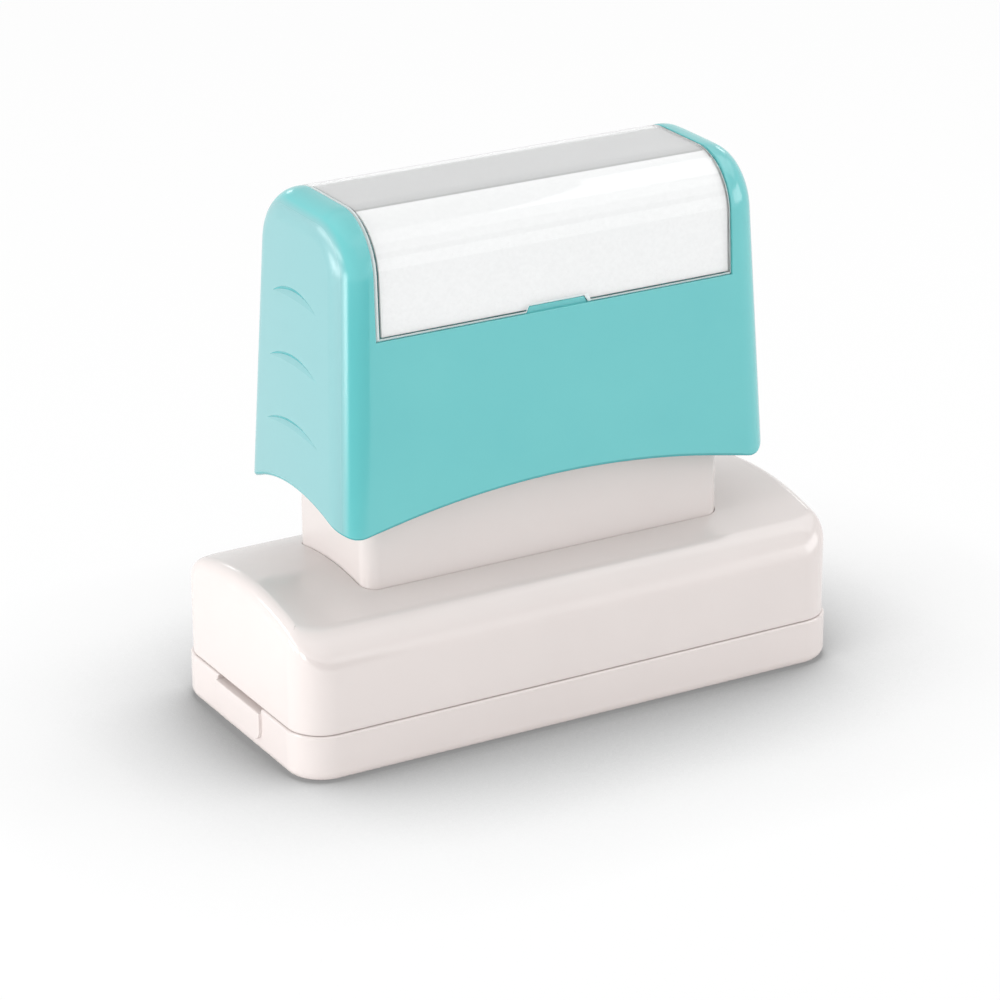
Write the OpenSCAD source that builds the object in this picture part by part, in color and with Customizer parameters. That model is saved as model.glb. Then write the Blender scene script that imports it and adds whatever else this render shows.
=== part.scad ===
// Pre-inked hand stamp. A press handle slides on the neck of a housing and carries an inked
// printing die down to the paper; two springs lift it again, and a dust cap closes the mouth.
// X runs along the stamp, the front faces -Y, and the dust cap's underside lies at Z = 0.

/* [Printing die] */
// Length of the printing die
die_length = 70; // [60:1:85]
// Width of the printing die
die_width = 23; // [20:1:32]
// Thickness of the die's sheet at its clamped border
die_sheet = 1.2; // [0.8:0.1:2]
// Height of the printing face below the border
die_relief = 1; // [0.9:0.1:1.6]
// Width of the clamped border
die_border = 1.8; // [1.2:0.1:3]
// Thickness of the ink reservoir behind the die
reservoir_thickness = 2.6; // [1.6:0.1:4]

/* [Die tray and frame] */
// Thickness of the tray's floor
tray_floor = 1.4; // [1:0.1:2]
// Wall of the tray round the die
tray_wall = 2; // [1.2:0.1:3]
// Wall of the frame round the tray
frame_wall = 1.6; // [1:0.1:2.4]
// Thickness of the frame's lip under the die's border
frame_lip = 0.6; // [0.4:0.1:0.7]
// Diameter of the pegs that locate the tray on the plunger
peg_diameter = 3; // [2:0.1:4]

/* [Plunger] */
// Thickness of the plunger's plate
plate_thickness = 2.2; // [1.6:0.1:3.2]
// Length of the plunger's post
post_length = 26; // [22:0.5:30]
// Width of the plunger's post
post_width = 11; // [9.5:0.1:13]
// Wall of the plunger's post
post_wall = 1.6; // [1.2:0.1:2.2]
// Distance between the two plunger screws
plunger_screw_pitch = 16; // [13:0.5:18]
// Diameter of the plunger screws
plunger_screw = 3; // [2.5:0.1:3.5]
// Length of the plunger screws below their heads
plunger_screw_length = 10; // [8:0.5:14]

/* [Stroke] */
// How far the handle travels
press_travel = 6; // [4:0.5:8]
// How far the pressed die passes the housing's lip
press_over = 0.8; // [0.4:0.1:1.4]

/* [Dust cap] */
// Height of the cap
cap_height = 6.8; // [5.8:0.1:8]
// Wall of the cap
cap_wall = 1.5; // [1.2:0.1:2]
// Floor of the cap
cap_floor = 1.5; // [1.2:0.1:2.2]
// Radius of the cap's vertical corners
cap_corner = 5.5; // [4.5:0.1:7]
// Radius of the cap's lower edge
cap_edge = 1.5; // [0.8:0.1:2.2]
// How far the cap stands proud of the housing
cap_proud = 0.35; // [0.2:0.05:0.6]
// Width of the thumb panel on each end of the cap
thumb_width = 13.4; // [9:0.2:18]
// How far the thumb panel stands proud of the cap
thumb_proud = 0.45; // [0.3:0.05:0.8]
// Height of the thumb panel above the underside
thumb_sill = 2; // [1.6:0.1:3]
// Height of the nail slot above the thumb panel
nail_slot = 0.6; // [0.4:0.1:0.8]

/* [Housing] */
// Wall of the lip that the cap closes over
lip_wall = 1.8; // [1.4:0.1:2.4]
// Wall of the housing's sides
housing_wall = 2; // [1.6:0.1:2.6]
// Thickness of the crowned roof
crown_wall = 2; // [1.6:0.1:2.6]
// Room between the neck's flange and the roof
crown_room = 2.7; // [2.3:0.1:5]
// Radius of the crown across the housing
crown_radius = 50; // [36:1:90]
// Radius of the front and rear shoulders
housing_shoulder = 4.4; // [3:0.1:5]
// Radius of the roof's edge at both ends
housing_edge = 2; // [1.2:0.1:3]

/* [Neck] */
// Ledge of the housing beyond each end of the neck
end_ledge = 14.6; // [12:0.2:18]
// Ledge of the housing in front of the neck and behind it
side_ledge = 9.2; // [8:0.2:11]
// Radius of the neck's vertical corners
neck_corner = 2.2; // [1.4:0.1:4]
// Wall of the neck
neck_wall = 1.6; // [1.2:0.1:2.2]
// Thickness of the deck that the springs stand on
deck_thickness = 2; // [1.6:0.1:3]
// Thickness of the neck's flange
flange_thickness = 2.2; // [1.8:0.1:3]
// Reach of the flange beyond each end of the neck
flange_reach = 7; // [6.4:0.2:8]
// Reach of the flange beyond the neck's front and rear
flange_lip = 2; // [1:0.1:3]
// Diameter of the neck screws
sleeve_screw = 2.5; // [2:0.1:3]
// Distance of the neck screws across the housing
sleeve_screw_pitch = 12; // [9:0.5:15]

/* [Handle] */
// Overhang of the handle's foot beyond each end of the neck
end_overhang = 6.1; // [5.4:0.1:8]
// Overhang of the handle's foot in front of the neck and behind it
side_overhang = 4.5; // [4:0.1:6]
// Height of the handle
handle_height = 43.9; // [42:0.2:52]
// Room left under the handle's feet when pressed
foot_clear = 2.2; // [1:0.1:5]
// Wall of the handle's skirt
handle_wall = 2.2; // [1.8:0.1:2.6]
// Wall of the handle's roof under the card
roof_wall = 1.8; // [1.4:0.1:2.4]
// Draft of the front and rear, in degrees
side_draft = 2.7; // [1:0.1:4]
// Draft of the ends, in degrees
end_draft = 2.6; // [1:0.1:4]
// Radius of the long shoulders
handle_shoulder = 8.3; // [6:0.1:9.5]
// Radius round the edge of each end
end_round = 4; // [2.5:0.1:5]
// Bulge of each end
end_bulge = 0.6; // [0.2:0.1:1.2]
// Rise of the arch in the front and rear rims
front_arch = 3.7; // [2:0.1:5]
// Rise of the arch in the end rims
end_arch = 3.7; // [1.5:0.1:4]
// Length of the flat foot at each corner, along the stamp
foot_length = 3.6; // [2:0.1:6]
// Width of the flat foot at each corner, across the stamp
foot_width = 0.6; // [0:0.1:2]

/* [Grip crescents] */
// Crescents in each end
crescents = 3; // [1:1:3]
// Distance from one crescent to the next
crescent_pitch = 9.3; // [8:0.1:10]
// Height of the lowest crescent above the foot
crescent_height = 11.3; // [9:0.1:14]
// Width of the lowest crescent
crescent_width = 16.4; // [12:0.2:17]
// How much narrower each next crescent is
crescent_taper = 1.6; // [0:0.1:2]
// Rise of a crescent's arc
crescent_rise = 1.9; // [1.5:0.1:3]
// Fall of a crescent's floor over its rise
crescent_depth = 0.8; // [0.5:0.1:1.2]
// Radius of a crescent's floor across the end
crescent_floor = 70; // [50:1:120]

/* [Window] */
// Cheek of the handle beyond each end of the window
window_cheek = 6.7; // [6:0.1:10]
// Height of the window's sill above the handle's foot
sill_height = 27.3; // [26:0.1:31]
// Thickness of the clear cover
cover_thickness = 1.2; // [0.8:0.1:1.6]
// Width of the rim at each end of the cover, and of the clear band under the card
cover_rim = 0.9; // [0.6:0.1:1.4]
// Thickness of the index card
card_thickness = 0.3; // [0.2:0.05:0.5]
// Width of the pry notch in the cover's front edge
notch_width = 9.6; // [6:0.2:14]
// Height of the pry notch
notch_height = 0.9; // [0.8:0.1:1.8]

/* [Return springs] */
// Diameter of the spring wire
spring_wire = 0.8; // [0.6:0.05:1]
// Outside diameter of the springs
spring_diameter = 7.6; // [6.6:0.1:8.4]
// Number of turns
spring_turns = 8; // [6:1:10]
// Diameter of the posts that hold the springs
spring_post = 4.6; // [3.6:0.1:5]
// Height of the posts on the deck
deck_post = 5; // [3:0.5:6]
// Length of the posts under the handle's roof
roof_post = 8; // [5:0.5:9]

/* [Clearances] */
// Gap round pieces that seat in each other
seat_gap = 0.2; // [0.1:0.05:0.3]
// Gap between the die frame and the housing
stroke_gap = 0.55; // [0.4:0.05:0.8]
// Gap between the handle's guide ribs and the neck
slide_gap = 0.25; // [0.2:0.05:0.4]
// Gap between the cap and the housing's lip
cap_gap = 0.15; // [0.1:0.05:0.25]
// Gap between the pressed die and the cap's floor
floor_gap = 0.5; // [0.3:0.1:1]
// Gap between the raised plunger and the neck's flange
stop_gap = 0.2; // [0.1:0.05:0.4]
// Gap between the pressed handle and the neck's deck
deck_gap = 1.8; // [1:0.1:3]
// Gap on each side of the card
card_gap = 0.15; // [0.1:0.05:0.25]

/* [Hidden] */

$fn = 48;
// Extra length that lets a cutter pass a face
cut = 1;

// Outlines, from the die outwards
tray_size = [die_length, die_width] + 2 * (seat_gap + tray_wall) * [1, 1];
frame_size = tray_size + 2 * (seat_gap + frame_wall) * [1, 1];
mouth_size = frame_size + 2 * stroke_gap * [1, 1];
lip_size = mouth_size + 2 * lip_wall * [1, 1];
cap_bore = lip_size + 2 * cap_gap * [1, 1];
cap_size = cap_bore + 2 * cap_wall * [1, 1];
housing_size = cap_size - 2 * cap_proud * [1, 1];
neck_size = cap_size - 2 * [end_ledge, side_ledge];
handle_size = neck_size + 2 * [end_overhang, side_overhang];
recess_length = handle_size.x - 2 * window_cheek;

// Heights, from the cap's underside upwards
lip_z = cap_floor + floor_gap + press_over;
die_z = lip_z + press_travel - press_over;
border_z = die_z + die_relief;
pad_z = border_z + die_sheet;
tray_z = pad_z + reservoir_thickness;
plate_z = tray_z + tray_floor;
plate_top = plate_z + plate_thickness;
flange_z = plate_top + stop_gap;
flange_top = flange_z + flange_thickness;
crown_z = flange_top + crown_room + crown_wall;
foot_z = crown_z + press_travel + foot_clear;
handle_top = foot_z + handle_height;
sill_z = foot_z + sill_height;
shelf_z = sill_z - roof_wall;
recess_depth = cover_thickness + card_thickness + 2 * card_gap;
roof_z = handle_top - recess_depth - roof_wall;
deck_z = shelf_z - press_travel - deck_gap;
boss_height = 4.5;
plunger_top = roof_z - boss_height;
seam_gap = 0.15;
seam_z = cap_height + seam_gap;

// Corners that keep their walls even
cap_bore_corner = cap_corner - cap_wall;
lip_corner = cap_bore_corner - cap_gap;
mouth_corner = lip_corner - lip_wall;
frame_corner = mouth_corner - stroke_gap;
housing_corner = cap_corner - cap_proud;

// Places of the fixings
sleeve_screw_x = neck_size.x / 2 + flange_reach / 2;
spring_x = (post_length / 2 + neck_size.x / 2 - neck_wall) / 2;
peg_x = tray_size.x / 2 - 6;

teal = [0.49, 0.80, 0.80];
cream = [0.93, 0.91, 0.89];
clear = [0.90, 0.95, 0.95, 0.45];
paper = [0.95, 0.95, 0.95];
steel = [0.72, 0.72, 0.74];
foam = [0.32, 0.32, 0.36];
felt = [0.20, 0.22, 0.34];
inner_plastic = [0.80, 0.80, 0.80];

// Rounded rectangle
module rounded(size, radius) {
    square([size.x - 2 * radius, size.y], center = true);
    square([size.x, size.y - 2 * radius], center = true);
    for (x = [-1, 1], y = [-1, 1])
        translate([x * (size.x / 2 - radius), y * (size.y / 2 - radius)])
            circle(r = radius);
}

// Plate with rounded corners from height z0 to height z1
module plate(size, radius, z0, z1) {
    translate([0, 0, z0])
        linear_extrude(z1 - z0)
            rounded(size, radius);
}

// Outline in Y and Z, swept along X
module along_x(length) {
    rotate([90, 0, 90])
        linear_extrude(length, center = true)
            children();
}

// Outline in X and Z, swept along Y
module along_y(width) {
    rotate([90, 0, 0])
        linear_extrude(width, center = true)
            children();
}

// Copies at the two ends
module both_ends() {
    children();
    mirror([1, 0, 0])
        children();
}

// Height of the housing's crown at depth y, lowered by drop
function crown(y, drop = 0) = crown_z - crown_radius + sqrt(pow(crown_radius - drop, 2) - y * y);

// Housing: its outline in plan, rounded over into the crown

corner_steps = 8;
end_steps = 8;
roll_steps = 6;
corner_x = housing_size.x / 2 - housing_corner;
corner_y = housing_size.y / 2 - housing_corner;

// Right half of the plan, front to rear: centre of the corner and direction from it
plan_half = concat(
    [for (i = [0 : corner_steps]) [corner_x, -corner_y, -90 + 90 * i / corner_steps]],
    [for (i = [1 : end_steps - 1]) [corner_x, corner_y * (2 * i / end_steps - 1), 0]],
    [for (i = [0 : corner_steps]) [corner_x, corner_y, 90 * i / corner_steps]]
);

// Radius of the rounded edge where the wall faces that way
function edge_radius(a) = housing_edge + (housing_shoulder - housing_edge) * pow(sin(a), 2);

// Point of the rounded edge at roll angle s: 0 on the wall, 90 on the crown
function edge_point(p, s) =
    let (r = edge_radius(p[2]))
    let (out = housing_corner - r * (1 - cos(s)))
    let (x = p[0] + out * cos(p[2]))
    let (y = p[1] + out * sin(p[2]))
    [x, y, crown(y) - r * (1 - sin(s))];

// Ring of points: the right half and its mirror image
function both_halves(half) = concat(
    half,
    [for (i = [len(half) - 1 : -1 : 0]) [-half[i][0], half[i][1], half[i][2]]]
);

module housing_form() {
    wall_foot = [for (p = plan_half) let (q = edge_point(p, 0)) [q.x, q.y, seam_z]];
    rolls = [for (k = [0 : roll_steps]) [for (p = plan_half) edge_point(p, 90 * k / roll_steps)]];
    rings = [for (half = concat([wall_foot], rolls)) both_halves(half)];
    m = len(plan_half);
    n = 2 * m;
    top = (len(rings) - 1) * n;
    sides = [
        for (k = [0 : len(rings) - 2], i = [0 : n - 1])
            let (a = k * n + i, b = k * n + (i + 1) % n)
            each [[a, a + n, b + n], [a, b + n, b]]
    ];
    roof = [
        for (j = [0 : m - 2])
            each [[top + j, top + n - 1 - j, top + n - 2 - j], [top + j, top + n - 2 - j, top + j + 1]]
    ];
    floor_faces = [
        for (j = [0 : m - 2])
            each [[j, j + 1, n - 2 - j], [j, n - 2 - j, n - 1 - j]]
    ];
    polyhedron([for (r = rings) each r], concat(sides, roof, floor_faces));
}

// Hollow of the housing under the crown, with chamfered upper corners
module housing_hollow() {
    half_width = housing_size.y / 2 - housing_wall;
    chamfer = housing_shoulder - housing_wall;
    arc_half = half_width - chamfer;
    arc_steps = 12;
    arc = [for (i = [0 : arc_steps]) arc_half * (1 - 2 * i / arc_steps)];
    intersection() {
        plate(housing_size - 2 * housing_wall * [1, 1], housing_corner - housing_wall,
            seam_z + lip_wall, crown_z);
        along_x(housing_size.x)
            polygon(concat(
                [[half_width, lip_z], [half_width, crown(half_width, crown_wall) - chamfer]],
                [for (y = arc) [y, crown(y, crown_wall)]],
                [[-half_width, crown(half_width, crown_wall) - chamfer], [-half_width, lip_z]]
            ));
    }
}

module sleeve_screw_places() {
    for (x = [-1, 1], y = [-1, 1])
        translate([x * sleeve_screw_x, y * sleeve_screw_pitch / 2, 0])
            children();
}

sleeve_boss = sleeve_screw + 3.5;
sleeve_screw_reach = crown_room;

module base_housing() {
    color(cream)
    difference() {
        union() {
            difference() {
                housing_form();
                plate(mouth_size, mouth_corner, seam_z - cut, seam_z + lip_wall + cut);
                housing_hollow();
                plate(neck_size + 2 * seat_gap * [1, 1], neck_corner + seat_gap,
                    seam_z, crown_z + cut);
            }
            difference() {
                plate(lip_size, lip_corner, lip_z, seam_z + lip_wall / 2);
                plate(mouth_size, mouth_corner, lip_z - cut, seam_z + lip_wall);
            }
            sleeve_screw_places()
                translate([0, 0, flange_top])
                    cylinder(d = sleeve_boss, h = crown_room + crown_wall / 2);
        }
        sleeve_screw_places()
            translate([0, 0, flange_top - cut])
                cylinder(d = sleeve_screw + seat_gap / 2, h = sleeve_screw_reach + cut + seat_gap);
    }
}

// Neck: a sleeve with a flange under the crown and a deck for the springs

sleeve_head = 2 * sleeve_screw - 0.4;
sleeve_head_height = 1.2;

module neck_sleeve() {
    inside = neck_size - 2 * neck_wall * [1, 1];
    flange = neck_size + 2 * [flange_reach, flange_lip];
    color(cream)
    difference() {
        union() {
            plate(flange, neck_corner, flange_z, flange_top);
            plate(neck_size, neck_corner, flange_z, deck_z);
            both_ends()
                translate([spring_x, 0, deck_z - deck_thickness / 2])
                    cylinder(d = spring_post, h = deck_thickness / 2 + deck_post);
        }
        plate(inside, max(neck_corner - neck_wall, 0.4), flange_z - cut, deck_z - deck_thickness);
        plate([post_length, post_width] + 2 * slide_gap * [1, 1], 1, flange_z, deck_z + cut);
        sleeve_screw_places() {
            translate([0, 0, flange_z - cut])
                cylinder(d = sleeve_screw + seat_gap, h = flange_thickness + 2 * cut);
            translate([0, 0, flange_z - cut])
                cylinder(d = sleeve_head + 2 * seat_gap, h = cut + sleeve_head_height + seat_gap);
        }
    }
}

// Screw with its head on the origin and its shank along +Z; the socket is in the head
module screw(shank, length, head, head_height) {
    socket = head * 0.5;
    difference() {
        union() {
            cylinder(d = head, h = head_height);
            cylinder(d = shank, h = head_height + length);
        }
        translate([0, 0, -cut])
            cylinder(d = socket, h = cut + head_height * 0.6, $fn = 6);
    }
}

module sleeve_screws() {
    color(steel)
    sleeve_screw_places()
        translate([0, 0, flange_z + seat_gap / 2])
            screw(sleeve_screw, flange_thickness - sleeve_head_height + sleeve_screw_reach
                - seat_gap, sleeve_head, sleeve_head_height);
}

// Dust cap

module cap_form() {
    half = cap_size / 2 - cap_corner * [1, 1];
    lip_break = 0.3;
    roll = [for (a = [-90 : 15 : 0]) [cap_corner - cap_edge + cap_edge * cos(a), cap_edge + cap_edge * sin(a)]];
    hull()
        for (x = [-1, 1], y = [-1, 1])
            translate([x * half.x, y * half.y, 0])
                rotate_extrude()
                    polygon(concat(
                        [[0, 0]],
                        roll,
                        [[cap_corner, cap_height - lip_break], [cap_corner - lip_break, cap_height], [0, cap_height]]
                    ));
}

thumb_top = cap_height - nail_slot;

// Raised panel that the thumb pushes, square at the slot above it and rounded below
module thumb_panel() {
    corner = 1.6;
    panel = [thumb_width, 2 * (thumb_top - thumb_sill)];
    translate([cap_size.x / 2 - cap_wall / 2, 0, thumb_top])
        rotate([90, 0, 90])
            linear_extrude(cap_wall / 2 + thumb_proud)
                difference() {
                    rounded(panel, corner);
                    translate([0, panel.y / 2])
                        square([panel.x + 2 * cut, panel.y], center = true);
                }
}

// Slot above the panel, for a thumb nail
module thumb_slot() {
    slot = [cap_wall + 2 * cut, thumb_width, nail_slot + cut];
    translate([cap_size.x / 2, 0, thumb_top + slot.z / 2])
        cube(slot, center = true);
}

module dust_cap() {
    color(cream)
    difference() {
        union() {
            cap_form();
            both_ends()
                thumb_panel();
        }
        plate(cap_bore, cap_bore_corner, cap_floor, cap_height + cut);
        both_ends()
            thumb_slot();
    }
}

// Handle: a loaf with drafted sides, long shoulders and rounded ends

shoulder_steps = 10;
round_steps = 6;
bulge_steps = 4;

// Half depth of the handle at height z, inset by d
function side_y(z, d = 0) =
    handle_size.y / 2 - tan(side_draft) * (z - foot_z) - d / cos(side_draft);

// Half length of the handle at depth y and height z
function end_x(y, z) =
    handle_size.x / 2 - tan(end_draft) * (z - foot_z) - end_bulge * pow(2 * y / handle_size.y, 2);

shoulder_z = handle_top - handle_shoulder;
shoulder_y = side_y(shoulder_z, handle_shoulder);

// Cross-section of the handle inset by d, from height z0 up over the shoulders
function cross_section(d, z0) =
    let (turn = 90 - side_draft)
    let (arc = [for (i = [0 : shoulder_steps]) side_draft + turn * i / shoulder_steps])
    let (r = handle_shoulder - d)
    concat(
        [[side_y(z0, d), z0]],
        [for (a = arc) [shoulder_y + r * cos(a), shoulder_z + r * sin(a)]],
        [for (i = [shoulder_steps : -1 : 0]) [-shoulder_y - r * cos(arc[i]), shoulder_z + r * sin(arc[i])]],
        [[-side_y(z0, d), z0]]
    );

// Ring of the rounded end at roll angle s: 0 on the long sides, 90 on the end face
function end_ring(side, s) = [
    for (q = cross_section(end_round * (1 - cos(s)), foot_z))
        [side * (end_x(q[0], q[1]) - end_round * (1 - sin(s))), q[0], q[1]]
];

// Ring of the bulged end face, drawn in to share u of its size
function face_ring(side, u) =
    let (mid = [0, (foot_z + shoulder_z) / 2])
    [
        for (q = cross_section(end_round, foot_z))
            let (p = mid + u * (q - mid))
            [side * end_x(p[0], p[1]), p[0], p[1]]
    ];

module handle_form() {
    shares = [for (i = [1 : bulge_steps - 1]) i / bulge_steps];
    rolls = [for (k = [0 : round_steps]) 90 * k / round_steps];
    right = concat(
        [for (s = rolls) end_ring(1, s)],
        [for (i = [len(shares) - 1 : -1 : 0]) face_ring(1, shares[i])]
    );
    left = [for (i = [len(right) - 1 : -1 : 0]) [for (p = right[i]) [-p[0], p[1], p[2]]]];
    rings = concat(left, right);
    n = len(rings[0]);
    tips = [for (side = [-1, 1]) face_ring(side, 0)[0]];
    last = len(rings) * n;
    skin = [
        for (k = [0 : len(rings) - 2], i = [0 : n - 1])
            let (a = k * n + i, b = k * n + (i + 1) % n)
            each [[a, a + n, b + n], [a, b + n, b]]
    ];
    fans = [
        for (i = [0 : n - 1])
            let (j = (i + 1) % n)
            each [[last, i, j], [last + 1, last - n + j, last - n + i]]
    ];
    polyhedron(concat([for (r = rings) each r], tips), concat(skin, fans));
}

// Radius of an arch over a chord
function arch_radius(half_chord, rise) = (half_chord * half_chord + rise * rise) / (2 * rise);

// Cutter that arches the rims of the front, the rear and both ends
module rim_arches() {
    front_radius = arch_radius(handle_size.x / 2 - foot_length, front_arch);
    end_radius = arch_radius(handle_size.y / 2 - foot_width, end_arch);
    translate([0, 0, foot_z + front_arch - front_radius])
        rotate([90, 0, 0])
            cylinder(r = front_radius, h = handle_size.y + 2 * cut, center = true, $fn = 200);
    translate([0, 0, foot_z + end_arch - end_radius])
        rotate([0, 90, 0])
            cylinder(r = end_radius, h = handle_size.x + 2 * cut, center = true, $fn = 120);
}

// Crescent in the right end: an arc for its upper edge, and a rounded floor that comes out at its tips
module grip_crescent(width, height) {
    half = width / 2;
    radius = arch_radius(half, crescent_rise);
    slope = crescent_depth / crescent_rise;
    tip_sag = pow(half, 2) / (2 * crescent_floor) - end_bulge * pow(width / handle_size.y, 2);
    translate([end_x(0, foot_z + height), 0, foot_z + height])
        rotate([0, -end_draft, 0])
            difference() {
                translate([0, 0, crescent_rise - radius])
                    rotate([0, 90, 0])
                        cylinder(r = radius, h = 2 * handle_wall, center = true, $fn = 96);
                translate([0, 0, tip_sag / slope])
                    rotate([0, -atan(slope), 0])
                        translate([-crescent_floor, 0, 0])
                            cylinder(r = crescent_floor, h = 6 * radius, center = true, $fn = 240);
            }
}

// Hollow of the handle: a drafted skirt, and a narrower top under the window
module handle_hollow() {
    skirt_y = [for (z = [foot_z - cut, shelf_z]) side_y(z, handle_wall)];
    end_wall = end_bulge + handle_wall;
    low = end_x(0, foot_z - cut) - end_wall;
    high = end_x(0, roof_z) - end_wall;
    intersection() {
        along_y(handle_size.y)
            polygon([[-low, foot_z - cut], [low, foot_z - cut], [high, roof_z + cut], [-high, roof_z + cut]]);
        along_x(handle_size.x) {
            polygon([[-skirt_y[0], foot_z - cut], [skirt_y[0], foot_z - cut],
                [skirt_y[1], shelf_z], [-skirt_y[1], shelf_z]]);
            polygon(cross_section(recess_depth + roof_wall, foot_z));
        }
    }
}

// Recess for the card and the cover, over the top and down the front and rear
module window_recess() {
    difference() {
        translate([0, 0, (sill_z + handle_top + cut) / 2])
            cube([recess_length, handle_size.y, handle_top + cut - sill_z], center = true);
        along_x(recess_length + 2 * cut)
            polygon(cross_section(recess_depth, sill_z - cut));
    }
}

// Ribs inside the skirt that guide the handle on the neck
module guide_ribs() {
    rib = 1.6;
    rib_foot = foot_z + max(front_arch, end_arch) + 2;
    rise = shelf_z - rib_foot;
    inner = neck_size / 2 + slide_gap * [1, 1];
    outer = [end_x(0, shelf_z) - end_bulge - handle_wall / 2, side_y(shelf_z, handle_wall / 2)];
    for (x = [-1, 1], y = [-1, 1]) {
        translate([x * neck_size.x / 3, y * (inner.y + outer.y) / 2, rib_foot + rise / 2])
            cube([rib, outer.y - inner.y, rise], center = true);
        translate([x * (inner.x + outer.x) / 2, y * neck_size.y / 4, rib_foot + rise / 2])
            cube([outer.x - inner.x, rib, rise], center = true);
    }
}

plunger_head = 2 * plunger_screw - 0.4;
plunger_head_height = 2;
plunger_boss = plunger_screw + 4;
head_seat = plunger_top + boss_height / 2;

module plunger_screw_places() {
    for (x = [-1, 1])
        translate([x * plunger_screw_pitch / 2, 0, 0])
            children();
}

module handle_shell() {
    color(teal)
    difference() {
        union() {
            difference() {
                handle_form();
                rim_arches();
                handle_hollow();
                window_recess();
                both_ends()
                    for (i = [0 : crescents - 1])
                        grip_crescent(crescent_width - i * crescent_taper,
                            crescent_height + i * crescent_pitch);
            }
            guide_ribs();
            plunger_screw_places()
                translate([0, 0, plunger_top])
                    cylinder(d = plunger_head + 2.4, h = boss_height + roof_wall / 2);
            both_ends()
                translate([spring_x, 0, roof_z - roof_post])
                    cylinder(d = spring_post, h = roof_post + roof_wall / 2);
        }
        plunger_screw_places() {
            translate([0, 0, plunger_top - cut])
                cylinder(d = plunger_screw + seat_gap, h = boss_height + roof_wall + 2 * cut);
            translate([0, 0, head_seat])
                cylinder(d = plunger_head + 2 * seat_gap, h = handle_top - head_seat);
        }
    }
}

// Clear cover and index card

cover_z = sill_z + seat_gap;
cover_length = recess_length - 2 * seat_gap;
rim_depth = recess_depth - card_gap;
card_inset = cover_thickness + card_gap;
card_z = cover_z + cover_rim + 2 * card_gap;
card_length = cover_length - 2 * cover_rim - 4 * card_gap;

module window_cover() {
    notch_half = notch_width / 2;
    notch_top = notch_half - notch_height / 2;
    color(clear)
    difference() {
        along_x(cover_length)
            polygon(cross_section(0, cover_z));
        along_x(cover_length + 2 * cut)
            polygon(cross_section(rim_depth, cover_z - cut));
        along_x(cover_length - 2 * cover_rim)
            polygon(cross_section(cover_thickness, cover_z - cut));
        translate([0, -side_y(cover_z), cover_z])
            along_y(2 * handle_wall)
                polygon([[-notch_half, -cut], [notch_half, -cut], [notch_half, 0],
                    [notch_top, notch_height], [-notch_top, notch_height], [-notch_half, 0]]);
    }
}

module index_card() {
    color(paper)
    difference() {
        along_x(card_length)
            polygon(cross_section(card_inset, card_z));
        along_x(card_length + 2 * cut)
            polygon(cross_section(card_inset + card_thickness, card_z - cut));
    }
}

// Plunger: a hollow post on a plate

plate_size = tray_size - 2 * tray_wall * [1, 1];

module peg_places() {
    for (x = [-1, 1], y = [-1, 1])
        translate([x * peg_x, y * die_width / 3, 0])
            children();
}

module plunger() {
    hollow = [post_length, post_width] - 2 * post_wall * [1, 1];
    color(inner_plastic)
    difference() {
        union() {
            plate(plate_size, 2, plate_z, plate_top);
            difference() {
                plate([post_length, post_width], 1, plate_z, plunger_top);
                plate(hollow, 0.6, plate_top, plunger_top + cut);
            }
            plunger_screw_places()
                translate([0, 0, plate_top - cut])
                    cylinder(d = min(plunger_boss, post_width - post_wall), h = plunger_top - plate_top + cut);
        }
        plunger_screw_places()
            translate([0, 0, plunger_top - plunger_screw_length])
                cylinder(d = plunger_screw + seat_gap / 2, h = plunger_screw_length + cut);
        peg_places()
            translate([0, 0, plate_z - cut])
                cylinder(d = peg_diameter + seat_gap, h = plate_thickness + 2 * cut);
    }
}

module plunger_screws() {
    color(steel)
    plunger_screw_places()
        translate([0, 0, head_seat + plunger_head_height])
            mirror([0, 0, 1])
                screw(plunger_screw, plunger_screw_length, plunger_head, plunger_head_height);
}

// Tray, pad, die and frame

tray_corner = frame_corner + 1;

module die_tray() {
    pocket = [die_length, die_width] + 2 * seat_gap * [1, 1];
    color(inner_plastic) {
        difference() {
            plate(tray_size, tray_corner, border_z, plate_z);
            plate(pocket, 1, border_z - cut, tray_z);
        }
        peg_places()
            translate([0, 0, plate_z - tray_floor / 2])
                cylinder(d = peg_diameter, h = tray_floor / 2 + plate_thickness);
    }
}

module ink_reservoir() {
    color(felt)
    plate([die_length, die_width], 1, pad_z, tray_z);
}

module print_die() {
    color(foam) {
        plate([die_length, die_width], 1, border_z, pad_z);
        plate([die_length, die_width] - 2 * die_border * [1, 1], 0.8, die_z, border_z + die_sheet / 2);
    }
}

module die_frame() {
    lip_gap = seat_gap / 2;
    lip_top = border_z - lip_gap;
    color(inner_plastic)
    difference() {
        plate(frame_size, tray_corner, lip_top - frame_lip, plate_z);
        plate(tray_size + 2 * seat_gap * [1, 1], tray_corner, lip_top, plate_z + cut);
        plate([die_length, die_width] - 2 * (die_border - seat_gap) * [1, 1], 0.8,
            lip_top - frame_lip - cut, plate_z);
    }
}

// Return springs: one unbroken wire each, with a closed turn at both ends

turn_rings = 8;
wire_sides = 6;
spring_low = deck_z + seat_gap / 2;
spring_high = roof_z - seat_gap / 2;
coil_radius = (spring_diameter - spring_wire) / 2;
closed_pitch = spring_wire + 0.5;
coil_height = spring_high - spring_low - spring_wire;
open_pitch = (coil_height - 2 * closed_pitch) / (spring_turns - 2);

// Height of the wire's centre after t turns
function coil_z(t) =
    t < 1 ? t * closed_pitch
    : t > spring_turns - 1 ? coil_height - (spring_turns - t) * closed_pitch
    : closed_pitch + (t - 1) * open_pitch;

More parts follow.
